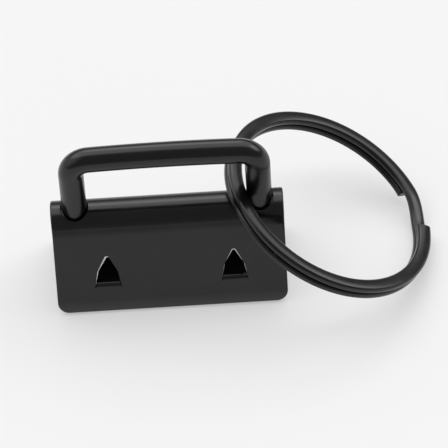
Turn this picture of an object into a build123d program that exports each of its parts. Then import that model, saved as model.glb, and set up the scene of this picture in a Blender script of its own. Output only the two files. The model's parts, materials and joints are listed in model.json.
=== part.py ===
"""Webbing key-fob hardware: a folded sheet clamp, a wire bail that swings in
the clamp's rolled fold, and a two-turn split ring threaded on the bail.

Frame: millimetres. The clamp stands like a tent on the edges of its two jaws.
The origin is on the ground plane, midway between the jaws, at the middle of
the clamp's width. +X runs along the fold towards the ring, +Z is up.
"""
from build123d import *
from math import sin, cos, asin, atan2, degrees, radians, sqrt
import os

# ---------------------------------------------------------------- dimensions
# clamp
clamp_width = 25.6        # along the fold, for 25 mm webbing
sheet = 0.88              # sheet thickness
fold_r = 2.35             # outer radius of the rolled fold
jaw_half_angle = 20.5     # each open jaw, from the vertical
jaw_len = 10.35           # flat length of a jaw's outer face
jaw_corner_r = 1.25       # rounded bottom corners of a jaw
edge_r = 0.2              # rounded bottom edge of the sheet
slot_swing = 4.0          # swing of the bail that a slot leaves room for
slot_gap = 0.06           # slot wall to wire, all round
# teeth
tooth_x = 7.03            # tooth centre, from the middle
tooth_base = 2.9          # width of a tooth at its base
tooth_mid = 2.25          # width half way up, so that the sides are convex
tooth_tip = 0.34          # width at the point
tooth_high = 3.8          # base to point, along the sheet
tooth_up = 3.08           # base to the jaw's bottom edge
tooth_bend = 66.0         # how far a tooth is bent inward
tooth_r = 0.56            # outside radius of that bend
blade = 0.60              # a tooth's thickness, thinned by the punch
# bail
wire_r = 1.40             # round wire
leg_x = 10.2              # centre line of a leg
bail_high = 9.85          # fold axis to the bar's centre line, at the middle
pin_bend_r = 1.6          # centre line radius, leg to pin
bar_bend_r = 2.05         # centre line radius, leg to bar
bar_slope = 2.4           # slope of the crowned bar at its ends
pin_end_x = 3.6           # free end of a pin, from the middle
pin_chamfer = 0.3
# split ring
ring_ro = 12.7            # outer radius, a 25.4 mm ring
ring_ri = 11.12           # inner radius
strip = 0.90              # thickness of one turn of flattened wire
turn_gap = 0.03           # hairline between the turns
strip_round = 0.38        # rounded corners of the flattened wire
ring_at_y = 2.27          # the ring's centre, from the fold's mid plane
cross_x = 7.70            # where the ring's wire passes through the bail
cross_up = 1.18           # that wire's centre, above the crest of the fold
ring_foot = -0.122        # sets the slope: the rounded wire just clears the ground
end_lo = 2.5              # angle of the upper turn's free end
end_hi = 29.0             # angle of the lower turn's free end

# ---------------------------------------------------------------- derived
hw = clamp_width / 2.0
sa, ca = sin(radians(jaw_half_angle)), cos(radians(jaw_half_angle))
# the sheet's rounded inner bottom edge touches the ground plane
fold_z = jaw_len * ca + sheet * sa - fold_r * sa - edge_r * (ca + sa - 1.0)
bore_r = fold_r - sheet
crest_z = fold_z + fold_r


def jaw_pt(side, depth, along):
    """(y, z) on a jaw: side -1 is the front jaw, +1 the back one; depth goes
    inward from the outer face, along goes down from the fold's tangent line."""
    r = fold_r - depth
    return (side * (r * ca + along * sa), fold_z + r * sa - along * ca)


# ---------------------------------------------------------------- one tooth
# Local frame: x across the tooth, y into the clamp, z up the jaw, with the
# origin on the jaw's outer face at the middle of the tooth's base.
tb = radians(tooth_bend)
flat_len = tooth_high - (tooth_r - blade / 2) * tb


def top_pt(ang, run=0.0):
    """A point of the tooth's upper face: round the bend, then along the blade."""
    return (tooth_r - tooth_r * cos(ang) + run * sin(ang), tooth_r * sin(ang) + run * cos(ang))


def under_pt(run):
    y, z = top_pt(tb, run)
    return (y + blade * cos(tb), z - blade * sin(tb))


with BuildPart() as tooth_form:
    with BuildSketch(Plane.YZ):
        with BuildLine():
            ThreePointArc(top_pt(0), top_pt(tb / 2), top_pt(tb))
            Line(top_pt(tb), top_pt(tb, flat_len))
            Line(top_pt(tb, flat_len), under_pt(flat_len))
            Line(under_pt(flat_len), under_pt(0.1))
            Polyline(under_pt(0.1), (under_pt(0.1)[0], -0.06), (0.0, -0.06), top_pt(0))
        make_face()
    extrude(amount=tooth_base, both=True)
    # trimmed to the pointed outline, as seen square to the blade
    with BuildSketch(Plane.XY):
        with BuildLine():
            Polyline((-tooth_base / 2 + 0.02, -0.02), (tooth_base / 2 - 0.02, -0.02),
                     (tooth_base / 2 - 0.02, tooth_r * 0.8),
                     (tooth_mid / 2 - 0.02, tooth_high / 2),
                     (tooth_tip / 2, top_pt(tb, flat_len)[0] + 0.02),
                     (-tooth_tip / 2, top_pt(tb, flat_len)[0] + 0.02),
                     (-tooth_mid / 2 + 0.02, tooth_high / 2),
                     (-tooth_base / 2 + 0.02, tooth_r * 0.8), close=True)
        make_face()
    extrude(amount=8, both=True, mode=Mode.INTERSECT)

# ---------------------------------------------------------------- slot tools
slot_form = {}
for s in (1, -1):
    with BuildPart() as slot_tool:
        with BuildLine() as bend_line:
            half = radians(45)
            ThreePointArc((s * (leg_x - pin_bend_r), 0, fold_z),
                          (s * (leg_x - pin_bend_r + pin_bend_r * sin(half)), 0,
                           fold_z + pin_bend_r * (1 - cos(half))),
                          (s * leg_x, 0, fold_z + pin_bend_r))
            Line((s * leg_x, 0, fold_z + pin_bend_r), (s * leg_x, 0, fold_z + 4.0))
        with BuildSketch(Plane(origin=(s * (leg_x - pin_bend_r), 0, fold_z), z_dir=(s, 0, 0))):
            Circle(wire_r + slot_gap)
        sweep(path=bend_line.wires()[0])
    slot_form[s] = slot_tool.part

# ---------------------------------------------------------------- clamp body
with BuildPart() as clamp_body:
    with BuildSketch(Plane.YZ):
        with BuildLine():
            Line(jaw_pt(-1, 0, jaw_len), jaw_pt(-1, 0, 0))
            ThreePointArc(jaw_pt(-1, 0, 0), (0, crest_z), jaw_pt(1, 0, 0))
            Line(jaw_pt(1, 0, 0), jaw_pt(1, 0, jaw_len))
            Line(jaw_pt(1, 0, jaw_len), jaw_pt(1, sheet, jaw_len))
            Line(jaw_pt(1, sheet, jaw_len), jaw_pt(1, sheet, 0))
            ThreePointArc(jaw_pt(1, sheet, 0), (0, fold_z + bore_r), jaw_pt(-1, sheet, 0))
            Line(jaw_pt(-1, sheet, 0), jaw_pt(-1, sheet, jaw_len))
            Line(jaw_pt(-1, sheet, jaw_len), jaw_pt(-1, 0, jaw_len))
        make_face()
    extrude(amount=hw, both=True)
    # rounded bottom corners, then the rounded bottom edges
    fillet([e for e in clamp_body.edges()
            if abs(e.length - sheet) < 1e-3 and e.center().Z < fold_z / 3], jaw_corner_r)
    fillet([e for e in clamp_body.edges()
            if e.length > clamp_width * 0.7 and e.center().Z < fold_z / 8], edge_r)
    # slots for the bail's legs: the wire's own bend, a little larger, cut at
    # steps of the swing, so that the end walls flare and the ends are round
    for s in (1, -1):
        for tip in (-1.0, -0.5, 0.0, 0.5, 1.0):
            add(slot_form[s].rotate(Axis((0, 0, fold_z), (1, 0, 0)), tip * slot_swing),
                mode=Mode.SUBTRACT)
    # lanced teeth: the opening, then the tooth bent in from its base
    for side in (-1, 1):
        for xc in (-tooth_x, tooth_x):
            base = (xc, *jaw_pt(side, 0, jaw_len - tooth_up))
            with BuildSketch(Plane(origin=base, x_dir=(-side, 0, 0), z_dir=(0, side * ca, sa))):
                with BuildLine():
                    Polyline((-tooth_base / 2, 0), (tooth_base / 2, 0),
                             (tooth_mid / 2, tooth_high / 2), (tooth_tip / 2, tooth_high),
                             (-tooth_tip / 2, tooth_high), (-tooth_mid / 2, tooth_high / 2),
                             close=True)
                make_face()
            extrude(amount=-sheet * 1.6, mode=Mode.SUBTRACT)
            frame = Plane(origin=base, x_dir=(-side, 0, 0), z_dir=(0, -side * sa, ca))
            with Locations(frame.location):
                add(tooth_form.part)
clamp_body.part.label = "clamp_body"

# ---------------------------------------------------------------- bail
sl = radians(bar_slope)
bar_arc_r = (leg_x - bar_bend_r + bar_bend_r * sin(sl)) / sin(sl)
bar_top = fold_z + bail_high
leg_top = bar_top - bar_arc_r * (1 - cos(sl)) - bar_bend_r * cos(sl)
bar_x = leg_x - bar_bend_r + bar_bend_r * sin(sl)
bar_z = leg_top + bar_bend_r * cos(sl)
with BuildPart() as bail:
    with BuildLine() as wire_line:
        for s in (1, -1):
            half = radians(45)
            Line((s * pin_end_x, 0, fold_z), (s * (leg_x - pin_bend_r), 0, fold_z))
            ThreePointArc((s * (leg_x - pin_bend_r), 0, fold_z),
                          (s * (leg_x - pin_bend_r + pin_bend_r * sin(half)), 0,
                           fold_z + pin_bend_r * (1 - cos(half))),
                          (s * leg_x, 0, fold_z + pin_bend_r))
            Line((s * leg_x, 0, fold_z + pin_bend_r), (s * leg_x, 0, leg_top))
            m = (radians(90) - sl) / 2
            ThreePointArc((s * leg_x, 0, leg_top),
                          (s * (leg_x - bar_bend_r + bar_bend_r * cos(m)), 0,
                           leg_top + bar_bend_r * sin(m)),
                          (s * bar_x, 0, bar_z))
        ThreePointArc((bar_x, 0, bar_z), (0, 0, bar_top), (-bar_x, 0, bar_z))
    with BuildSketch(Plane(origin=(pin_end_x, 0, fold_z), z_dir=(1, 0, 0))):
        Circle(wire_r)
    sweep(path=wire_line.wires()[0])
    chamfer([e for e in bail.edges().filter_by(GeomType.CIRCLE)
             if abs(abs(e.center().X) - pin_end_x) < 0.01], pin_chamfer)
bail.part.label = "bail"

# ---------------------------------------------------------------- split ring
ring_rm = (ring_ro + ring_ri) / 2
lift = strip / 2 + turn_gap / 2        # a turn's mid plane, from the ring's own
half_t = strip + turn_gap / 2
reach = sqrt(ring_rm ** 2 - ring_at_y ** 2)
cross_z = crest_z + cross_up
# the ring leans on the crest and on the ground, which fixes its slope
tilt = (asin((cross_z - ring_foot) / sqrt((reach + ring_ro) ** 2 + half_t ** 2))
        - atan2(half_t, reach + ring_ro))
down = Vector(cos(tilt), 0, -sin(tilt))
across = Vector(0, 1, 0)
normal = Vector(sin(tilt), 0, cos(tilt))
ring_c = Vector(cross_x, 0, cross_z) + down * reach + across * ring_at_y


def strip_plane(ang, off):
    t = radians(ang)
    radial = down * cos(t) + across * sin(t)
    along = across * cos(t) - down * sin(t)
    return Plane(origin=ring_c + radial * ring_rm + normal * off, x_dir=radial, z_dir=along)


with BuildPart() as split_ring:
    for off in (lift, -lift):
        with BuildSketch(strip_plane(end_hi, off)):
            RectangleRounded(ring_ro - ring_ri, strip, strip_round)
        revolve(axis=Axis(ring_c, normal), revolution_arc=360 - (end_hi - end_lo))
    # the crossover carries the wire from the upper turn down to the lower one
    steps = 8
    for i in range(steps + 1):
        f = i / steps
        e = f * f * (3 - 2 * f)
        with BuildSketch(strip_plane(end_hi + (end_lo - end_hi) * f, lift * (1 - 2 * e))):
            RectangleRounded(ring_ro - ring_ri, strip, strip_round)
    loft()
split_ring.part.label = "split_ring"

# ---------------------------------------------------------------- output
os.makedirs("parts", exist_ok=True)
export_step(clamp_body.part, "parts/clamp_body.step")
export_step(bail.part, "parts/bail.step")
export_step(split_ring.part, "parts/split_ring.step")

print("fold axis z %.4f, crest z %.4f, bail top %.4f" % (fold_z, crest_z, bar_top + wire_r))
print("ring centre (%.4f, %.4f, %.4f), tilt %.3f" % (*ring_c, degrees(tilt)))
print("ring crossing (%.4f, 0, %.4f)" % (cross_x, cross_z))
for p in (clamp_body.part, bail.part, split_ring.part):
    bb = p.bounding_box()
    print(p.label, "solids", len(p.solids()), "valid", p.is_valid, "volume %.3f" % p.volume,
          "x %.3f..%.3f y %.3f..%.3f z %.3f..%.3f" % (
              bb.min.X, bb.max.X, bb.min.Y, bb.max.Y, bb.min.Z, bb.max.Z))
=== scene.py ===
import json
import math

import bpy
import numpy as np
from mathutils import Matrix, Vector
from mathutils.geometry import delaunay_2d_cdt


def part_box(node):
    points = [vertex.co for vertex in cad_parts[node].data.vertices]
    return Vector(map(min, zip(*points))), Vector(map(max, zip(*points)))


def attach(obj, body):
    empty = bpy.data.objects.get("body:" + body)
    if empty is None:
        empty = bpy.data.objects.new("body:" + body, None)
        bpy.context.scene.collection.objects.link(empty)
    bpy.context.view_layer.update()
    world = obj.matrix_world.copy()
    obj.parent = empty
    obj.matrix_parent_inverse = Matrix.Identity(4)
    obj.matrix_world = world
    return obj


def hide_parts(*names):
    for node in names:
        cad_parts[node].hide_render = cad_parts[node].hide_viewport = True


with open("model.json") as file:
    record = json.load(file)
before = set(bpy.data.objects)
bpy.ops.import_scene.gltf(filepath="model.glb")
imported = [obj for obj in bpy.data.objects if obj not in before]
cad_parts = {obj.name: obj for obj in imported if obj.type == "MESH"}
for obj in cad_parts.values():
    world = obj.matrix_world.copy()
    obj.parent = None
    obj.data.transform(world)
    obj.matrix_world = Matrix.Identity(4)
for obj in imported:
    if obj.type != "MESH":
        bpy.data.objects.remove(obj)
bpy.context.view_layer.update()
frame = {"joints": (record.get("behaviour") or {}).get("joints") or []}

MM = 0.001

# ------------------------------------------------------------------ sizes (mm)
# The same design as the CAD part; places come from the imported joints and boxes.
joints = {j["name"]: j for j in frame["joints"]}
FOLD_Z = joints["bail_swing"]["pos_m"][2] / MM
CROSS = np.array(joints["ring_swing"]["pos_m"]) / MM
clamp_lo, clamp_hi = (np.array(c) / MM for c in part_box("clamp_body"))
bail_lo, bail_hi = (np.array(c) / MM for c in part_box("bail"))
HW = clamp_hi[0]
FOLD_R = clamp_hi[2] - FOLD_Z
SHEET = 0.88
ALPHA = math.radians(20.5)
SA, CA = math.sin(ALPHA), math.cos(ALPHA)
JAW = 10.35
WIRE_R = bail_hi[1]
LEG_X = bail_hi[0] - WIRE_R
BAIL_TOP = bail_hi[2] - WIRE_R


def unit(v):
    v = np.asarray(v, float)
    return v / np.maximum(np.linalg.norm(v, axis=-1, keepdims=True), 1e-12)


def make_object(name, verts, faces, normals, body, node, material):
    """A smooth mesh, in metres, from vertices in mm with their exact normals."""
    me = bpy.data.meshes.new(name)
    verts, normals = np.asarray(verts), unit(normals)
    turned = []
    for f in faces:
        f = [int(i) for i in f]
        p = verts[f]
        n = np.cross(p, np.roll(p, -1, 0)).sum(0)
        turned.append(f if n @ normals[f].sum(0) >= 0 else f[::-1])
    me.from_pydata((verts * MM).tolist(), [], turned)
    me.validate(clean_customdata=False)
    me.shade_smooth()
    if normals is not None and len(me.vertices) == len(normals):
        me.normals_split_custom_set_from_vertices(unit(normals).tolist())
    me.update()
    ob = bpy.data.objects.new(name, me)
    bpy.context.scene.collection.objects.link(ob)
    me.materials.append(material)
    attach(ob, body)
    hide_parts(node)
    return ob


# ------------------------------------------------------------------ materials
def nodes_of(mat):
    mat.use_nodes = True
    nt = mat.node_tree
    nt.nodes.clear()
    return nt


def black_enamel(name, base, rough, peel, tint, specks, seed, sheet=False):
    """Stoved black enamel over steel: a fine orange peel, soft low waves, thin
    patches of a duller film, hairline rubs and the odd speck of dust."""
    mat = bpy.data.materials.new(name)
    nt = nodes_of(mat)
    N, L = nt.nodes, nt.links
    out = N.new("ShaderNodeOutputMaterial")
    bsdf = N.new("ShaderNodeBsdfPrincipled")
    bsdf.inputs["IOR"].default_value = 1.47
    bsdf.inputs["Specular IOR Level"].default_value = 0.5
    L.new(bsdf.outputs["BSDF"], out.inputs["Surface"])
    tc = N.new("ShaderNodeTexCoord")
    shift = N.new("ShaderNodeMapping")
    shift.inputs["Location"].default_value = (seed * 0.137, seed * 0.071, seed * 0.053)
    L.new(tc.outputs["Object"], shift.inputs["Vector"])

    def noise(scale, detail, roughness=0.55, dist=0.0):
        n = N.new("ShaderNodeTexNoise")
        n.inputs["Scale"].default_value = scale
        n.inputs["Detail"].default_value = detail
        n.inputs["Roughness"].default_value = roughness
        n.inputs["Distortion"].default_value = dist
        L.new(shift.outputs["Vector"], n.inputs["Vector"])
        return n

    def ramp(src, a, b, lo, hi):
        m = N.new("ShaderNodeMapRange")
        m.inputs["From Min"].default_value = a
        m.inputs["From Max"].default_value = b
        m.inputs["To Min"].default_value = lo
        m.inputs["To Max"].default_value = hi
        L.new(src, m.inputs["Value"])
        return m.outputs["Result"]

    # colour: a deep black with faint warm and cool drift
    drift = noise(260.0, 3.0)
    mix = N.new("ShaderNodeMix")
    mix.data_type = "RGBA"
    mix.inputs["A"].default_value = (*base, 1.0)
    mix.inputs["B"].default_value = (*tint, 1.0)
    L.new(ramp(drift.outputs["Fac"], 0.35, 0.7, 0.0, 1.0), mix.inputs["Factor"])
    # dust specks: sparse tiny cells
    vor = N.new("ShaderNodeTexVoronoi")
    vor.feature = "F1"
    vor.inputs["Scale"].default_value = 620.0
    L.new(shift.outputs["Vector"], vor.inputs["Vector"])
    near = ramp(vor.outputs["Distance"], 0.055, 0.10, 1.0, 0.0)
    pick = N.new("ShaderNodeSeparateColor")
    L.new(vor.outputs["Color"], pick.inputs["Color"])
    rare = ramp(pick.outputs["Red"], 1.0 - specks, 1.0 - specks * 0.6, 0.0, 1.0)
    both = N.new("ShaderNodeMath")
    both.operation = "MULTIPLY"
    L.new(near, both.inputs[0])
    L.new(rare, both.inputs[1])
    dust = N.new("ShaderNodeMix")
    dust.data_type = "RGBA"
    dust.inputs["B"].default_value = (0.11, 0.11, 0.115, 1.0)
    L.new(mix.outputs["Result"], dust.inputs["A"])
    L.new(both.outputs["Value"], dust.inputs["Factor"])
    paint = dust.outputs["Result"]
    if sheet:
        # painted sheen: the base colour is lifted to a lighter grey towards the jaws' bottom edges, standing in for the
        # floor's reflection there
        height = N.new("ShaderNodeSeparateXYZ")
        L.new(tc.outputs["Object"], height.inputs["Vector"])
        painted_sheen = N.new("ShaderNodeMix")
        painted_sheen.data_type = "RGBA"
        # painted sheen colour: a grey that stands in for the floor's reflection on the jaws' lower edges
        painted_sheen.inputs["B"].default_value = (0.045, 0.045, 0.048, 1.0)
        L.new(paint, painted_sheen.inputs["A"])
        L.new(ramp(height.outputs["Z"], 0.0016, 0.0002, 0.0, 1.0), painted_sheen.inputs["Factor"])
        paint = painted_sheen.outputs["Result"]
    L.new(paint, bsdf.inputs["Base Color"])
    # gloss: patches, plus fine rubs stretched along x
    patch = noise(420.0, 4.0, 0.6)
    base_rough = ramp(patch.outputs["Fac"], 0.3, 0.75, rough - 0.03, rough + 0.05)
    rub_map = N.new("ShaderNodeMapping")
    rub_map.inputs["Scale"].default_value = (0.09, 1.0, 1.0)
    rub_map.inputs["Rotation"].default_value = (0.0, 0.0, 0.35)
    L.new(shift.outputs["Vector"], rub_map.inputs["Vector"])
    rub = N.new("ShaderNodeTexNoise")
    rub.inputs["Scale"].default_value = 5200.0
    rub.inputs["Detail"].default_value = 2.0
    L.new(rub_map.outputs["Vector"], rub.inputs["Vector"])
    rubs = ramp(rub.outputs["Fac"], 0.62, 0.78, 0.0, 0.07)
    add = N.new("ShaderNodeMath")
    add.operation = "ADD"
    L.new(base_rough, add.inputs[0])
    L.new(rubs, add.inputs[1])
    dull = add.outputs["Value"]
    if sheet:
        # sheared walls of the sheet take the coat unevenly and stay duller
        facing = N.new("ShaderNodeSeparateXYZ")
        L.new(tc.outputs["Normal"], facing.inputs["Vector"])
        side = N.new("ShaderNodeMath")
        side.operation = "ABSOLUTE"
        L.new(facing.outputs["X"], side.inputs[0])
        more = N.new("ShaderNodeMath")
        more.operation = "ADD"
        L.new(dull, more.inputs[0])
        L.new(ramp(side.outputs["Value"], 0.25, 0.6, 0.0, 0.38), more.inputs[1])
        dull = more.outputs["Value"]
    L.new(dull, bsdf.inputs["Roughness"])
    # relief: slow waves of the formed metal, then the enamel's peel
    wave = noise(210.0, 1.5, 0.45)
    b1 = N.new("ShaderNodeBump")
    b1.inputs["Strength"].default_value = 0.55
    b1.inputs["Distance"].default_value = 0.00006
    L.new(wave.outputs["Fac"], b1.inputs["Height"])
    skin = noise(2600.0, 2.0, 0.5)
    b2 = N.new("ShaderNodeBump")
    b2.inputs["Strength"].default_value = peel
    b2.inputs["Distance"].default_value = 0.00001
    L.new(skin.outputs["Fac"], b2.inputs["Height"])
    L.new(b1.outputs["Normal"], b2.inputs["Normal"])
    L.new(b2.outputs["Normal"], bsdf.inputs["Normal"])
    return mat


enamel_clamp = black_enamel("enamel_clamp", (0.0028, 0.0028, 0.0033), 0.22, 0.30, (0.004, 0.004, 0.0047), 0.05, 1.0, sheet=True)
enamel_bail = black_enamel("enamel_bail", (0.0028, 0.0028, 0.0033), 0.21, 0.30, (0.0044, 0.0042, 0.0042), 0.03, 2.0)
enamel_ring = black_enamel("enamel_ring", (0.0028, 0.0028, 0.0033), 0.21, 0.35, (0.0044, 0.0044, 0.005), 0.06, 3.0)


# ------------------------------------------------------------------ sweeps
def sweep(points, u_axis, v_axis, section, sec_normal, scale=None, close_ends=0.06):
    """A closed tube with rounded cut ends. section is (m, 2) offsets along the
    u and v axes; scale is (n, 2). Returns vertices, faces, normals."""
    n, m = len(points), len(section)
    if scale is None:
        scale = np.ones((n, 2))
    tangent = unit(np.gradient(points, axis=0))
    V, Nn = [], []
    for i in range(n):
        s = section * scale[i]
        V.append(points[i] + s[:, :1] * u_axis[i] + s[:, 1:] * v_axis[i])
        Nn.append(sec_normal[:, :1] * u_axis[i] + sec_normal[:, 1:] * v_axis[i])
    rows, norms = list(V), list(Nn)

    def cap(first):
        i = 0 if first else n - 1
        t = -tangent[i] if first else tangent[i]
        out_r, out_n = [], []
        for k in range(1, 5):
            f = math.radians(90 * k / 4)
            inset = close_ends * (1 - math.cos(f))
            push = close_ends * math.sin(f)
            s = section * scale[i] - sec_normal * inset
            p = points[i] + s[:, :1] * u_axis[i] + s[:, 1:] * v_axis[i] + t * (push - close_ends)
            out_r.append(p)
            out_n.append(unit(Nn[i] * math.cos(f) + t * math.sin(f)))
        # the flat of the cut, in two shrinking rings
        for shrink in (0.55, 0.15):
            s = (section * scale[i] - sec_normal * close_ends) * shrink
            out_r.append(points[i] + s[:, :1] * u_axis[i] + s[:, 1:] * v_axis[i])
            out_n.append(np.repeat(t[None], m, 0))
        return out_r, out_n

    # draw the end stations back so that the rounded cut ends where the path ends
    rows[0] = rows[0] + tangent[0] * close_ends
    rows[-1] = rows[-1] - tangent[-1] * close_ends
    r0, n0 = cap(True)
    r1, n1 = cap(False)
    rows = r0[::-1] + rows + r1
    norms = n0[::-1] + norms + n1
    verts = np.vstack(rows)
    normals = np.vstack(norms)
    R = len(rows)
    faces = []
    for i in range(R - 1):
        a, b = i * m, (i + 1) * m
        for j in range(m):
            k = (j + 1) % m
            faces.append((a + j, a + k, b + k, b + j))
    faces.append(tuple(range(m))[::-1])
    faces.append(tuple((R - 1) * m + j for j in range(m)))
    return verts, faces, normals


# ------------------------------------------------------------------ split ring
RO, RI, STRIP, GAP, ROUND = 12.7, 11.12, 0.90, 0.03, 0.38
RM = (RO + RI) / 2
LIFT = STRIP / 2 + GAP / 2
HALF_T = STRIP + GAP / 2
RING_Y = 2.27
END_LO, END_HI = 2.5, 29.0
REACH = math.sqrt(RM ** 2 - RING_Y ** 2)
tilt = (math.asin((CROSS[2] + 0.122) / math.hypot(REACH + RO, HALF_T)) - math.atan2(HALF_T, REACH + RO))
E1 = np.array([math.cos(tilt), 0, -math.sin(tilt)])
E2 = np.array([0.0, 1.0, 0.0])
EN = np.array([math.sin(tilt), 0, math.cos(tilt)])
RING_C = CROSS + E1 * REACH + E2 * RING_Y


def flat_section(w, t, r, crown, seg=7):
    """Rolled flat wire: rounded corners and faintly crowned faces."""
    pts, nrm = [], []
    hw_, ht = w / 2, t / 2
    for cx, cy, a0 in ((1, 1, 0), (-1, 1, 90), (-1, -1, 180), (1, -1, 270)):
        for k in range(seg + 1):
            f = math.radians(a0 + 90 * k / seg)
            pts.append((cx * (hw_ - r) + r * math.cos(f), cy * (ht - r) + r * math.sin(f)))
            nrm.append((math.cos(f), math.sin(f)))
        # points along the face that follows this corner
        nx = {(1, 1): (0, 1), (-1, 1): (-1, 0), (-1, -1): (0, -1), (1, -1): (1, 0)}[(cx, cy)]
        steps = 5 if nx[1] else 1
        for k in range(1, steps):
            f = k / steps
            if nx == (0, 1):
                x = (hw_ - r) * (1 - 2 * f)
                pts.append((x, ht)); nrm.append((0, 1))
            elif nx == (0, -1):
                x = -(hw_ - r) * (1 - 2 * f)
                pts.append((x, -ht)); nrm.append((0, -1))
    pts, nrm = np.array(pts), np.array(nrm, float)
    # crown the wide faces: raise the middle of each by lowering its shoulders
    x = np.clip(pts[:, 0] / (hw_ - r), -1, 1)
    drop = crown * x ** 2
    top, bot = nrm[:, 1] > 0.5, nrm[:, 1] < -0.5
    pts[top, 1] -= drop[top] * nrm[top, 1]
    pts[bot, 1] += drop[bot] * -nrm[bot, 1]
    flat = (np.abs(nrm[:, 1]) > 0.99)
    nrm[flat, 0] += 2 * crown * x[flat] / (hw_ - r)
    return pts, unit(nrm)


# angles run clockwise from the upper turn's free end, twice round
ang, off = [], []
a_start, a_cross0, a_cross1 = 360 + END_LO, END_HI, END_LO
first = np.linspace(a_start, a_cross0, 290)[:-1]
cross = np.linspace(a_cross0, a_cross1, 34)
second = np.linspace(a_cross1, END_HI - 360, 290)[1:]
for t in first:
    ang.append(t); off.append(LIFT)
for t in cross:
    f = (a_cross0 - t) / (a_cross0 - a_cross1)
    e = f * f * f * (f * (6 * f - 15) + 10) * 0.5 + f * f * (3 - 2 * f) * 0.5
    ang.append(t); off.append(LIFT * (1 - 2 * e))
for t in second:
    ang.append(t); off.append(-LIFT)
ang, off = np.array(ang), np.array(off)
# the last few degrees of each free end stand off a little, where keys start
lead0 = np.clip((ang - (a_start - 7.0)) / 7.0, 0, 1)
lead1 = np.clip(((END_HI - 360 + 7.0) - ang) / 7.0, 0, 1)
off = off + 0.05 * lead0 ** 2 - 0.07 * lead1 ** 2
# a hand-wound coil is never perfectly round or flat
rad = RM + 0.02 * np.sin(np.radians(2 * ang + 40))
th = np.radians(ang)
radial = np.cos(th)[:, None] * E1 + np.sin(th)[:, None] * E2
pts = RING_C + radial * rad[:, None] + EN * off[:, None]
tan = unit(np.gradient(pts, axis=0))
v_ax = unit(np.cross(radial, tan))
v_ax *= np.sign(v_ax @ EN)[:, None]
u_ax = unit(radial - tan * np.sum(radial * tan, 1)[:, None])
sec, sec_n = flat_section(RO - RI, STRIP, ROUND, 0.035, 10)
rv, rf, rn = sweep(pts, u_ax, v_ax, sec, sec_n, close_ends=0.13)
ring = make_object("ring_coil", rv, rf, rn, "ring", "split_ring", enamel_ring)

# ------------------------------------------------------------------ bail
PIN_BEND, BAR_BEND, SLOPE, PIN_END = 1.6, 2.05, math.radians(2.4), 3.6
BAR_R = (LEG_X - BAR_BEND + BAR_BEND * math.sin(SLOPE)) / math.sin(SLOPE)
LEG_TOP = BAIL_TOP - BAR_R * (1 - math.cos(SLOPE)) - BAR_BEND * math.cos(SLOPE)


def bail_path():
    """The right half of the wire's line, in x and z, with the signed bend
    towards the inside of the rectangle at each station."""
    p, bend = [], []
    for f in np.linspace(0, 1, 24)[:-1]:
        p.append((PIN_END + (LEG_X - PIN_BEND - PIN_END) * f, FOLD_Z)); bend.append(0.0)
    for f in np.linspace(0, 1, 26)[:-1]:
        a = f * math.pi / 2
        p.append((LEG_X - PIN_BEND + PIN_BEND * math.sin(a), FOLD_Z + PIN_BEND * (1 - math.cos(a))))
        bend.append(-math.sin(math.pi * f))
    for f in np.linspace(0, 1, 40)[:-1]:
        p.append((LEG_X, FOLD_Z + PIN_BEND + (LEG_TOP - FOLD_Z - PIN_BEND) * f)); bend.append(0.0)
    turn = math.pi / 2 - SLOPE
    for f in np.linspace(0, 1, 34)[:-1]:
        a = f * turn
        p.append((LEG_X - BAR_BEND + BAR_BEND * math.cos(a), LEG_TOP + BAR_BEND * math.sin(a)))
        bend.append(math.sin(math.pi * f))
    for f in np.linspace(0, 1, 60):
        a = SLOPE * (1 - f)
        p.append((BAR_R * math.sin(a), BAIL_TOP - BAR_R * (1 - math.cos(a)))); bend.append(0.0)
    return np.array(p), np.array(bend)


half, half_bend = bail_path()
left = half[::-1][1:].copy()
left[:, 0] *= -1
path2 = np.vstack([half, left])
bend = np.concatenate([half_bend, half_bend[::-1][1:]])
bp = np.column_stack([path2[:, 0], np.zeros(len(path2)), path2[:, 1]])
bt = unit(np.gradient(bp, axis=0))
# u points to the inside of the rectangle, v along y
v_b = np.repeat(np.array([[0.0, 1.0, 0.0]]), len(bp), 0)
u_b = unit(np.cross(v_b, bt))
centre = np.array([0, 0, (FOLD_Z + BAIL_TOP) / 2])
if np.sum((centre - bp[len(bp) // 2]) * u_b[len(bp) // 2]) < 0:
    u_b = -u_b
kernel = np.hanning(9); kernel /= kernel.sum()
soft_bend = np.convolve(np.pad(bend, 4, mode="edge"), kernel, mode="valid")
M = 48
fa = np.linspace(0, 2 * math.pi, M, endpoint=False)
circ = np.column_stack([np.cos(fa), np.sin(fa)])
brow = []
arc = np.concatenate([[0], np.cumsum(np.linalg.norm(np.diff(bp, axis=0), axis=1))])
total = arc[-1]
for i in range(len(bp)):
    b = soft_bend[i]
    u = WIRE_R * circ[:, 0].copy()
    v = WIRE_R * circ[:, 1].copy()
    # a cold bend thins on its outside and crowds on its inside
    u = np.where(circ[:, 0] < 0, u * (1 - 0.035 * b), u * (1 - 0.02 * b))
    v = v * (1 + 0.018 * b * (circ[:, 0] > -0.2))
    if b < 0:
        # the turned-in ends are drawn down a little where they pass the slots
        u, v = WIRE_R * (1 + 0.05 * b) * circ[:, 0], WIRE_R * (1 + 0.05 * b) * circ[:, 1]
    # two shallow folds where the inside of the bar bends is pinched
    inner = np.clip(circ[:, 0], 0, 1) ** 5
    b = max(b, 0.0)
    s = (arc[i] if arc[i] < total / 2 else total - arc[i])
    u = u - 0.05 * inner * b * (0.5 + 0.5 * math.cos(s * 5.4))
    brow.append(np.column_stack([u, v]))
V, Nn = [], []
for i in range(len(bp)):
    V.append(bp[i] + brow[i][:, :1] * u_b[i] + brow[i][:, 1:] * v_b[i])
V = np.array(V)
dP_i = np.gradient(V, axis=0)
dP_j = (np.roll(V, -1, 1) - np.roll(V, 1, 1))
bn = unit(np.cross(dP_i, dP_j))
outward = V - bp[:, None, :]
bn *= np.sign(np.sum(bn * outward, -1, keepdims=True))
rows, norms = [r for r in V], [r for r in bn]


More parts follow.
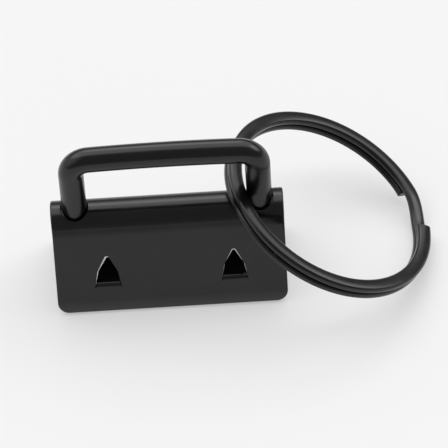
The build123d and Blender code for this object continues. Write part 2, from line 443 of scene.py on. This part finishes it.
def pin_cap(i, t):
    out_r, out_n = [], []
    c, r, cham = bp[i], WIRE_R, 0.3
    steps = [(0.0, 0.0)] + [(cham * math.sin(math.radians(a)), cham * (1 - math.cos(math.radians(a)))) for a in (22.5, 45, 67.5, 90)]
    for push, inset in steps[1:]:
        f = math.asin(min(1, push / cham))
        ring_ = c + t * (push - cham) + (r - inset) * (circ[:, :1] * u_b[i] + circ[:, 1:] * v_b[i])
        out_r.append(ring_)
        out_n.append(unit((circ[:, :1] * u_b[i] + circ[:, 1:] * v_b[i]) * math.cos(f) + t * math.sin(f)))
    for shrink in (0.6, 0.2):
        out_r.append(c + (r - cham) * shrink * (circ[:, :1] * u_b[i] + circ[:, 1:] * v_b[i]))
        out_n.append(np.repeat(t[None], M, 0))
    return out_r, out_n


rows[0] = rows[0] + bt[0] * 0.3
rows[-1] = rows[-1] - bt[-1] * 0.3
r0, n0 = pin_cap(0, -bt[0])
r1, n1 = pin_cap(len(bp) - 1, bt[-1])
rows = r0[::-1] + rows + r1
norms = n0[::-1] + norms + n1
bfaces = []
for i in range(len(rows) - 1):
    for j in range(M):
        k = (j + 1) % M
        bfaces.append((i * M + j, i * M + k, (i + 1) * M + k, (i + 1) * M + j))
bfaces.append(tuple(range(M))[::-1])
bfaces.append(tuple((len(rows) - 1) * M + j for j in range(M)))
bail = make_object("bail_wire", np.vstack(rows), bfaces, np.vstack(norms), "bail", "bail", enamel_bail)

# ------------------------------------------------------------------ clamp
# The clamp is laid out flat as its blank, x along the fold and u round it, then
# wrapped over the fold. u is 0 on the crest, negative towards the front jaw.
PSI0 = math.pi / 2 - ALPHA
U0 = FOLD_R * PSI0
U_END = U0 + JAW
T_X, T_BASE, T_MID, T_TIP, T_HIGH, T_UP = 7.03, 2.9, 2.25, 0.34, 3.8, 3.08
T_BETA, T_RO, BLADE = math.radians(66.0), 0.56, 0.60
T_RN = T_RO - BLADE / 2
T_LB = T_RN * T_BETA
KERF = 0.05
ALONG_B = JAW - T_UP


def wrap(x, u, d):
    """Blank to folded position and outward normal, both in mm."""
    x, u, d = np.broadcast_arrays(np.asarray(x, float), np.asarray(u, float), np.asarray(d, float))
    side = np.where(u < 0, -1.0, 1.0)
    au = np.abs(u)
    psi = np.minimum(au, U0) / FOLD_R
    along = np.maximum(au - U0, 0)
    b, slope = swell(au - U0)
    r = FOLD_R - d + b
    y = side * (r * np.sin(psi) + along * SA)
    z = FOLD_Z + r * np.cos(psi) - along * CA
    # the rolled ends stand a hair proud of the flat jaws' sides
    lip = np.clip((np.abs(x) - (HW - 1.1)) / 1.1, 0, 1) * np.clip(1.25 - au / U0, 0, 1)
    xs = x + np.where(x < 0, -0.085, 0.03) * lip
    pos = np.stack([xs, y, z], -1)
    ny, nz = side * np.sin(psi), np.cos(psi)
    # tangent down the jaw, tilted by the swell's slope
    ty, tz = side * np.cos(psi), -np.sin(psi)
    nrm = np.stack([np.zeros_like(x), ny - slope * ty, nz - slope * tz], -1)
    return pos, unit(nrm)


def swell(s):
    """Outward rise of the sheet, and its slope, at s past the tangent line."""
    s = np.asarray(s, float)
    up_a, up_b, down_b, high = -0.30, 0.85, 6.5, 0.050
    f = np.clip((s - up_a) / (up_b - up_a), 0, 1)
    g = np.clip((s - up_b) / (down_b - up_b), 0, 1)
    b = high * (f * f * (3 - 2 * f) - g * g * (3 - 2 * g))
    sl = high * (6 * f * (1 - f) / (up_b - up_a) - 6 * g * (1 - g) / (down_b - up_b))
    return b, sl


def tooth_height(u):
    """Height above the tooth's base line, up the jaw."""
    return ALONG_B - (np.abs(u) - U0)


def wrap_tooth(x, u, d):
    u = np.asarray(u, float)
    side = np.where(u < 0, -1.0, 1.0)
    v = tooth_height(u)
    th_ = np.clip(v, 0, T_LB) / T_RN
    run = np.maximum(v - T_LB, 0)
    low = np.minimum(v, 0)
    # the punch thins the tab to the blade just above its base
    thin = np.clip(v / 0.14, 0, 1)
    r = T_RO - d * (1 - (1 - BLADE / SHEET) * thin)
    cy = T_RO
    Y = cy - r * np.cos(th_) + run * np.sin(th_)
    Z = r * np.sin(th_) + run * np.cos(th_) + low
    by = side * (FOLD_R * CA + ALONG_B * SA)
    bz = FOLD_Z + FOLD_R * SA - ALONG_B * CA
    y = by - side * CA * Y - side * SA * Z
    z = bz - SA * Y + CA * Z
    nY, nZ = -np.cos(th_), np.sin(th_)
    nrm = np.stack([np.zeros_like(y), -side * CA * nY - side * SA * nZ, -SA * nY + CA * nZ], -1)
    return np.stack([x + 0 * y, y, z], -1), nrm


def rounded_loop(corners, radii, step):
    """Closed polygon with rounded corners, sampled no coarser than step.
    Returns points and the normal to the right of travel."""
    P = [np.array(c, float) for c in corners]
    n = len(P)
    pts_, nr_ = [], []
    arcs = []
    for i in range(n):
        a, b, c = P[i - 1], P[i], P[(i + 1) % n]
        d0, d1 = unit(b - a), unit(c - b)
        turn = math.atan2(d0[0] * d1[1] - d0[1] * d1[0], float(d0 @ d1))
        r = radii[i]
        cut = r * abs(math.tan(turn / 2))
        arcs.append((b - d0 * cut, b + d1 * cut, d0, d1, turn, r))
    for i in range(n):
        p0, p1, d0, d1, turn, r = arcs[i]
        k = max(3, int(math.ceil(abs(turn) / math.radians(12)))) if abs(turn) > 1e-6 else 1
        sgn = 1.0 if turn > 0 else -1.0
        left = np.array([-d0[1], d0[0]]) * sgn
        cen = p0 + left * r
        base_a = math.atan2(*(p0 - cen)[::-1])
        for j in range(k + 1):
            a = base_a + turn * j / k
            d = np.array([math.cos(math.atan2(d0[1], d0[0]) + turn * j / k), math.sin(math.atan2(d0[1], d0[0]) + turn * j / k)])
            pts_.append(cen + r * np.array([math.cos(a), math.sin(a)]))
            nr_.append(np.array([d[1], -d[0]]))
        q = arcs[(i + 1) % n][0]
        dist = np.linalg.norm(q - p1)
        m_ = int(dist / step)
        d = d1
        for j in range(1, m_ + 1):
            f = j / (m_ + 1)
            pts_.append(p1 + (q - p1) * f)
            nr_.append(np.array([d[1], -d[0]]))
    return np.array(pts_), np.array(nr_)


def in_poly(points, poly):
    x, y = points[:, 0], points[:, 1]
    inside = np.zeros(len(points), bool)
    j = len(poly) - 1
    for i in range(len(poly)):
        xi, yi = poly[i]
        xj, yj = poly[j]
        hit = ((yi > y) != (yj > y)) & (x < (xj - xi) * (y - yi) / (yj - yi + 1e-15) + xi)
        inside ^= hit
        j = i
    return inside


# the blank's outline, anticlockwise
outline, outline_n = rounded_loop(
    [(-HW, -U_END), (HW, -U_END), (HW, U_END), (-HW, U_END)], [1.25] * 4, 0.16)
# the slots, clockwise: the wire's own round section, drawn out by the swing of
# the bail, and opened on the inner face for the wire's bend
SW, TUBE = math.radians(4.0), WIRE_R + 0.06


def slot_u(q, d, sgn):
    """Where the tube's side line at offset q meets the face at depth d."""
    lo, hi = 0.0, U0 + 4.0
    for _ in range(60):
        m_ = (lo + hi) / 2
        pos, _n = wrap(0.0, m_, d)
        y, z = pos[..., 1], pos[..., 2] - FOLD_Z
        if y * math.cos(SW) - z * math.sin(SW) < q:
            lo = m_
        else:
            hi = m_
    return sgn * (lo + hi) / 2


def loop_normals(p):
    t = unit(np.roll(p, -1, 0) - np.roll(p, 1, 0))
    return np.column_stack([t[:, 1], -t[:, 0]])


slots = []
for sx in (1, -1):
    po, pi_ = [], []
    for k in range(72):
        a = -2 * math.pi * (k + 0.5) / 72
        ca_, sn_ = math.cos(a), math.sin(a)
        sgn = 1.0 if sn_ > 0 else -1.0
        q = TUBE * abs(sn_)
        x = LEG_X + TUBE * ca_
        po.append((x, slot_u(q, 0.0, sgn)))
        ui = slot_u(q, SHEET, sgn)
        xi = x
        if ca_ < 0:
            pos, _n = wrap(0.0, ui, SHEET)
            dz = max(1.6 - (float(pos[2]) - FOLD_Z), 0.0)
            rho = 1.6 - TUBE * abs(ca_)
            if rho > dz:
                xi = min(x, LEG_X - 1.6 + math.sqrt(rho * rho - dz * dz))
        pi_.append((xi, ui))
    po, pi_ = np.array(po), np.array(pi_)
    if sx < 0:
        po[:, 0] *= -1
        pi_[:, 0] *= -1
        po, pi_ = po[::-1], pi_[::-1]
    slots.append((po, loop_normals(po), pi_, loop_normals(pi_)))
# the cut round each tooth, clockwise: up and over the opening's edge, back round the tooth
teeth = []
for side in (-1, 1):
    for xc in (-T_X, T_X):
        hb, hm, ht = T_BASE / 2, T_MID / 2, T_TIP / 2
        k = KERF
        loc = [(-hb, 0.0), (-hm, T_HIGH / 2), (-ht, T_HIGH), (ht, T_HIGH), (hm, T_HIGH / 2), (hb, 0.0),
               (hb - k, 0.0), (hm - k, T_HIGH / 2), (ht - k * 0.9, T_HIGH - k), (-ht + k * 0.9, T_HIGH - k),
               (-hm + k, T_HIGH / 2), (-hb + k, 0.0)]
        rr = [0.02, 1.2, 0.14, 0.14, 1.2, 0.02, 0.02, 1.2, 0.105, 0.105, 1.2, 0.02]
        if side < 0:
            poly = [(xc + a, -(U0 + ALONG_B) + b) for a, b in loc]
        else:
            poly = [(xc + a, (U0 + ALONG_B) - b) for a, b in loc][::-1]
            rr = rr[::-1]
        p, m = rounded_loop(poly, rr, 0.14)
        mid = [(-hb + k / 2, -0.02), (-hm + k / 2, T_HIGH / 2), (-ht + k / 2, T_HIGH - k / 2),
               (ht - k / 2, T_HIGH - k / 2), (hm - k / 2, T_HIGH / 2), (hb - k / 2, -0.02)]
        if side < 0:
            tri = np.array([(xc + a, -(U0 + ALONG_B) + b) for a, b in mid])
        else:
            tri = np.array([(xc + a, (U0 + ALONG_B) - b) for a, b in mid])
        teeth.append((p, m, tri))


def is_tab(P):
    flag = np.zeros(len(P), bool)
    for _, _, tri in teeth:
        near = (P[:, 0] > tri[:, 0].min() - 0.1) & (P[:, 0] < tri[:, 0].max() + 0.1) & \
               (P[:, 1] > tri[:, 1].min() - 0.1) & (P[:, 1] < tri[:, 1].max() + 0.1)
        idx = np.nonzero(near)[0]
        flag[idx] |= in_poly(P[idx], tri)
    return flag & (tooth_height(P[:, 1]) > 0)


def place(P, d, tab):
    a, an = wrap(P[:, 0], P[:, 1], d)
    b, bn_ = wrap_tooth(P[:, 0], P[:, 1], d)
    t = tab[:, None]
    return np.where(t, b, a), np.where(t, bn_, an)


loops = [dict(po=outline, mo=outline_n, pi=outline, mi=outline_n, ro=0.20, ri=0.14)]
for p, m, q, qm in slots:
    loops.append(dict(po=p, mo=m, pi=q, mi=qm, ro=0.14, ri=0.10))
for p, m, tri in teeth:
    loops.append(dict(po=p, mo=m, pi=p, mi=m, ro=0.09, ri=0.06))


def sheet_face(key_p, key_m, key_r):
    """Triangles of one face of the blank, inside its drawn-in outlines."""
    P, E, polys = [], [], []
    for lp in loops:
        q = lp[key_p] - lp[key_m] * lp[key_r]
        s = len(P)
        P.extend(q.tolist())
        E.extend([(s + i, s + (i + 1) % len(q)) for i in range(len(q))])
        polys.append(q)
    rim = np.array(P)
    # fill points: rows close together over the fold and over the teeth's bends
    us = list(np.arange(-U0 - 0.3, U0 + 0.31, 0.105))
    us += [s * v for s in (-1, 1) for v in np.arange(U0 + 0.55, U_END, 0.42)]
    grid = [(x, u) for u in us for x in np.arange(-HW + 0.3, HW - 0.2, 0.42)]
    for side in (-1, 1):
        for xc in (-T_X, T_X):
            for v in np.arange(0.0, T_LB + 0.1, 0.055):
                for x in np.arange(-1.25, 1.26, 0.18):
                    grid.append((xc + x, side * (U0 + ALONG_B - v)))
            for v in np.arange(T_LB + 0.15, T_HIGH, 0.2):
                for x in np.arange(-1.2, 1.21, 0.2):
                    grid.append((xc + x, side * (U0 + ALONG_B - v)))
    grid = np.array(grid)
    keep = in_poly(grid, polys[0])
    for q in polys[1:]:
        keep &= ~in_poly(grid, q)
    grid = grid[keep]
    near = np.full(len(grid), 9.0)
    for s in range(0, len(rim), 400):
        d = np.linalg.norm(grid[:, None, :] - rim[None, s:s + 400, :], axis=2).min(1)
        near = np.minimum(near, d)
    grid = grid[near > 0.05]
    # drop points that crowd each other
    cell, chosen = {}, []
    for g in grid:
        key = (int(g[0] / 0.05), int(g[1] / 0.05))
        if key in cell:
            continue
        cell[key] = 1
        chosen.append(g)
    grid = np.array(chosen)
    allp = [Vector(p) for p in P] + [Vector(p) for p in grid.tolist()]
    vo, _, fo, ov, _, _ = delaunay_2d_cdt(allp, E, [], 0, 1e-7)
    vo = np.array([tuple(v) for v in vo])
    fo = np.array([f for f in fo if len(f) == 3])
    cen = vo[fo].mean(1)
    ok = in_poly(cen, polys[0])
    for q in polys[1:]:
        ok &= ~in_poly(cen, q)
    fo = fo[ok]
    back = np.full(len(allp), -1)
    for i, src in enumerate(ov):
        for s in src:
            back[s] = i
    area = np.cross(vo[fo[:, 1]] - vo[fo[:, 0]], vo[fo[:, 2]] - vo[fo[:, 0]])
    fo[area < 0] = fo[area < 0][:, ::-1]
    return vo, fo, back, len(P)


vo, fo, back_o, rim_n = sheet_face("po", "mo", "ro")
vi, fi, back_i, _ = sheet_face("pi", "mi", "ri")
pos_o, nrm_o = place(vo, np.zeros(len(vo)), is_tab(vo))
pos_i, nrm_i = place(vi, np.full(len(vi), SHEET), is_tab(vi))
cv = [pos_o, pos_i]
cn = [nrm_o, -nrm_i]
cf = [tuple(f) for f in fo] + [tuple(f[::-1] + len(vo)) for f in fi]
count = len(vo) + len(vi)
start = 0
for lp in loops:
    po, mo, pi_, mi, ra, rb = lp["po"], lp["mo"], lp["pi"], lp["mi"], lp["ro"], lp["ri"]
    n = len(po)
    tab = is_tab(po - mo * 0.03)
    # wall direction and its outward normal
    A, An = place(po, np.zeros(n), tab)
    B, _ = place(pi_, np.full(n, SHEET), tab)
    W = unit(B - A)
    T = unit(np.roll(A, -1, 0) - np.roll(A, 1, 0))
    eps = 0.02
    A2, _ = place(po - mo * eps, np.zeros(n), tab)
    m3 = unit(A - A2)
    S = unit(np.cross(T, W))
    S *= np.sign(np.sum(S * m3, 1, keepdims=True) + 1e-9)
    S = np.where(np.abs(np.sum(S * m3, 1, keepdims=True)) < 0.5, m3, S)
    rows_idx = [back_o[start:start + n]]
    K = 5
    prof = [(ra * (1 - math.sin(f)), ra * (1 - math.cos(f)), f) for f in [math.pi / 2 * k / K for k in range(1, K + 1)]]
    walls = [(0.0, ra + (SHEET - ra - rb) * f, math.pi / 2) for f in (0.34, 0.67)]
    prof2 = [(rb * (1 - math.sin(f)), SHEET - rb * (1 + math.cos(f)), f) for f in [math.pi / 2 + math.pi / 2 * k / K for k in range(0, K)]]
    for inset, depth, f in prof + walls + prof2:
        w = depth / SHEET
        base = po * (1 - w) + pi_ * w
        mm = unit(mo * (1 - w) + mi * w)
        q = base - mm * inset
        P3, N3 = place(q, np.full(n, depth), tab)
        nn = unit(N3 * math.cos(f) + S * math.sin(f))
        rows_idx.append(np.arange(count, count + n))
        cv.append(P3)
        cn.append(nn)
        count += n
    rows_idx.append(back_i[start:start + n] + len(vo))
    for a, b in zip(rows_idx[:-1], rows_idx[1:]):
        for i in range(n):
            j = (i + 1) % n
            cf.append((int(a[i]), int(b[i]), int(b[j]), int(a[j])))
    start += n
clamp_v = np.vstack(cv)
clamp_n = np.vstack(cn)
clamp = make_object("clamp_sheet", clamp_v, cf, clamp_n, "clamp", "clamp_body", enamel_clamp)

# ------------------------------------------------------------------ floor
me = bpy.data.meshes.new("floor")
S_ = 1.6
gx = np.linspace(-S_, S_, 9)
fv = [(x, y, -0.00002) for y in gx for x in gx]
ff = [(j * 9 + i, j * 9 + i + 1, (j + 1) * 9 + i + 1, (j + 1) * 9 + i) for j in range(8) for i in range(8)]
me.from_pydata(fv, [], ff)
floor = bpy.data.objects.new("floor", me)
bpy.context.scene.collection.objects.link(floor)
fm = bpy.data.materials.new("pale_table")
nt = nodes_of(fm)
out = nt.nodes.new("ShaderNodeOutputMaterial")
b = nt.nodes.new("ShaderNodeBsdfPrincipled")
b.inputs["Roughness"].default_value = 0.75
b.inputs["Specular IOR Level"].default_value = 0.15
tc = nt.nodes.new("ShaderNodeTexCoord")
nz = nt.nodes.new("ShaderNodeTexNoise")
nz.inputs["Scale"].default_value = 14.0
nz.inputs["Detail"].default_value = 2.0
nt.links.new(tc.outputs["Object"], nz.inputs["Vector"])
cr = nt.nodes.new("ShaderNodeMix")
cr.data_type = "RGBA"
cr.inputs["A"].default_value = (0.455, 0.455, 0.462, 1)
cr.inputs["B"].default_value = (0.48, 0.48, 0.482, 1)
nt.links.new(nz.outputs["Fac"], cr.inputs["Factor"])
nt.links.new(cr.outputs["Result"], b.inputs["Base Color"])
b.inputs["Emission Color"].default_value = (1.0, 1.0, 1.0, 1.0)
b.inputs["Emission Strength"].default_value = 0.40
nt.links.new(b.outputs["BSDF"], out.inputs["Surface"])
me.materials.append(fm)

# ------------------------------------------------------------------ light
world = bpy.data.worlds.new("studio")
bpy.context.scene.world = world
world.use_nodes = True
nt = world.node_tree
nt.nodes.clear()
wo = nt.nodes.new("ShaderNodeOutputWorld")
bg = nt.nodes.new("ShaderNodeBackground")
tc = nt.nodes.new("ShaderNodeTexCoord")


def lobe(axis, inner, outer, level, widen=1.0):
    """A soft-edged patch of sky round an axis; angles in degrees. widen
    stretches it along x."""
    src = tc.outputs["Generated"]
    axis = Vector(axis)
    if widen != 1.0:
        sc = nt.nodes.new("ShaderNodeVectorMath")
        sc.operation = "MULTIPLY"
        sc.inputs[1].default_value = (1.0 / widen, 1.0, 1.0)
        nt.links.new(src, sc.inputs[0])
        nm = nt.nodes.new("ShaderNodeVectorMath")
        nm.operation = "NORMALIZE"
        nt.links.new(sc.outputs["Vector"], nm.inputs[0])
        src = nm.outputs["Vector"]
        axis = Vector((axis[0] / widen, axis[1], axis[2]))
    axis.normalize()
    dt = nt.nodes.new("ShaderNodeVectorMath")
    dt.operation = "DOT_PRODUCT"
    dt.inputs[1].default_value = axis
    nt.links.new(src, dt.inputs[0])
    mr = nt.nodes.new("ShaderNodeMapRange")
    mr.interpolation_type = "SMOOTHSTEP"
    mr.inputs["From Min"].default_value = math.cos(math.radians(outer))
    mr.inputs["From Max"].default_value = math.cos(math.radians(inner))
    mr.inputs["To Min"].default_value = 0.0
    mr.inputs["To Max"].default_value = level
    nt.links.new(dt.outputs["Value"], mr.inputs["Value"])
    return mr.outputs["Result"]


def add_up(levels):
    total = levels[0]
    for lv in levels[1:]:
        m_ = nt.nodes.new("ShaderNodeMath")
        m_.operation = "ADD"
        nt.links.new(total, m_.inputs[0])
        nt.links.new(lv, m_.inputs[1])
        total = m_.outputs["Value"]
    return total


base_ = nt.nodes.new("ShaderNodeValue")
base_.outputs[0].default_value = 0.27
sky = add_up([
    base_.outputs[0],
    lobe((0.0, 0.50, 0.866), 26, 38, 1.62, widen=2.2),      # broad ceiling, behind
    lobe((0.84, 0.22, 0.50), 8, 20, 2.6),                   # window to the right
    lobe((-0.85, 0.10, 0.50), 10, 45, 0.7),                 # fill from the left
    lobe((0.0, 0.707, 0.707), 3, 10, 1.6, widen=2.0),       # lamp in the ceiling
])
bg.inputs["Color"].default_value = (1, 1, 1, 1)
nt.links.new(sky, bg.inputs["Strength"])
nt.links.new(bg.outputs["Background"], wo.inputs["Surface"])


def area_light(name, place_, target, size, power, colour=(1, 1, 1)):
    d = bpy.data.lights.new(name, "AREA")
    d.shape = "RECTANGLE"
    d.size, d.size_y = size
    d.energy = power
    d.color = colour
    o = bpy.data.objects.new(name, d)
    bpy.context.scene.collection.objects.link(o)
    o.location = place_
    o.rotation_euler = (Vector(target) - Vector(place_)).to_track_quat("-Z", "Y").to_euler()
    return o



# ------------------------------------------------------------------ camera
ELEV, ROLL, DIST, PXMM, TX, TY = 48.0, 3.492, 425.4, 8.906, 5.847, 5.110
e, ro = math.radians(ELEV), math.radians(ROLL)
v = np.array([0, -math.cos(e), math.sin(e)])
rr_, uu_ = np.array([1.0, 0, 0]), np.array([0, math.sin(e), math.cos(e)])
right = math.cos(ro) * rr_ - math.sin(ro) * uu_
up = math.sin(ro) * rr_ + math.cos(ro) * uu_
loc = (v * DIST + right * TX + up * TY) * MM
cam_data = bpy.data.cameras.new("camera")
cam = bpy.data.objects.new("camera", cam_data)
bpy.context.scene.collection.objects.link(cam)
rot = Matrix((right, up, v)).transposed()
cam.matrix_world = Matrix.Translation(Vector(loc)) @ rot.to_4x4()
cam_data.sensor_width = 36.0
cam_data.lens = 36.0 * (PXMM * DIST) / 448.0
cam_data.clip_start = 0.01
cam_data.clip_end = 20.0
bpy.context.scene.camera = cam
bpy.context.scene.view_settings.view_transform = "Standard"
bpy.context.scene.view_settings.look = "None"
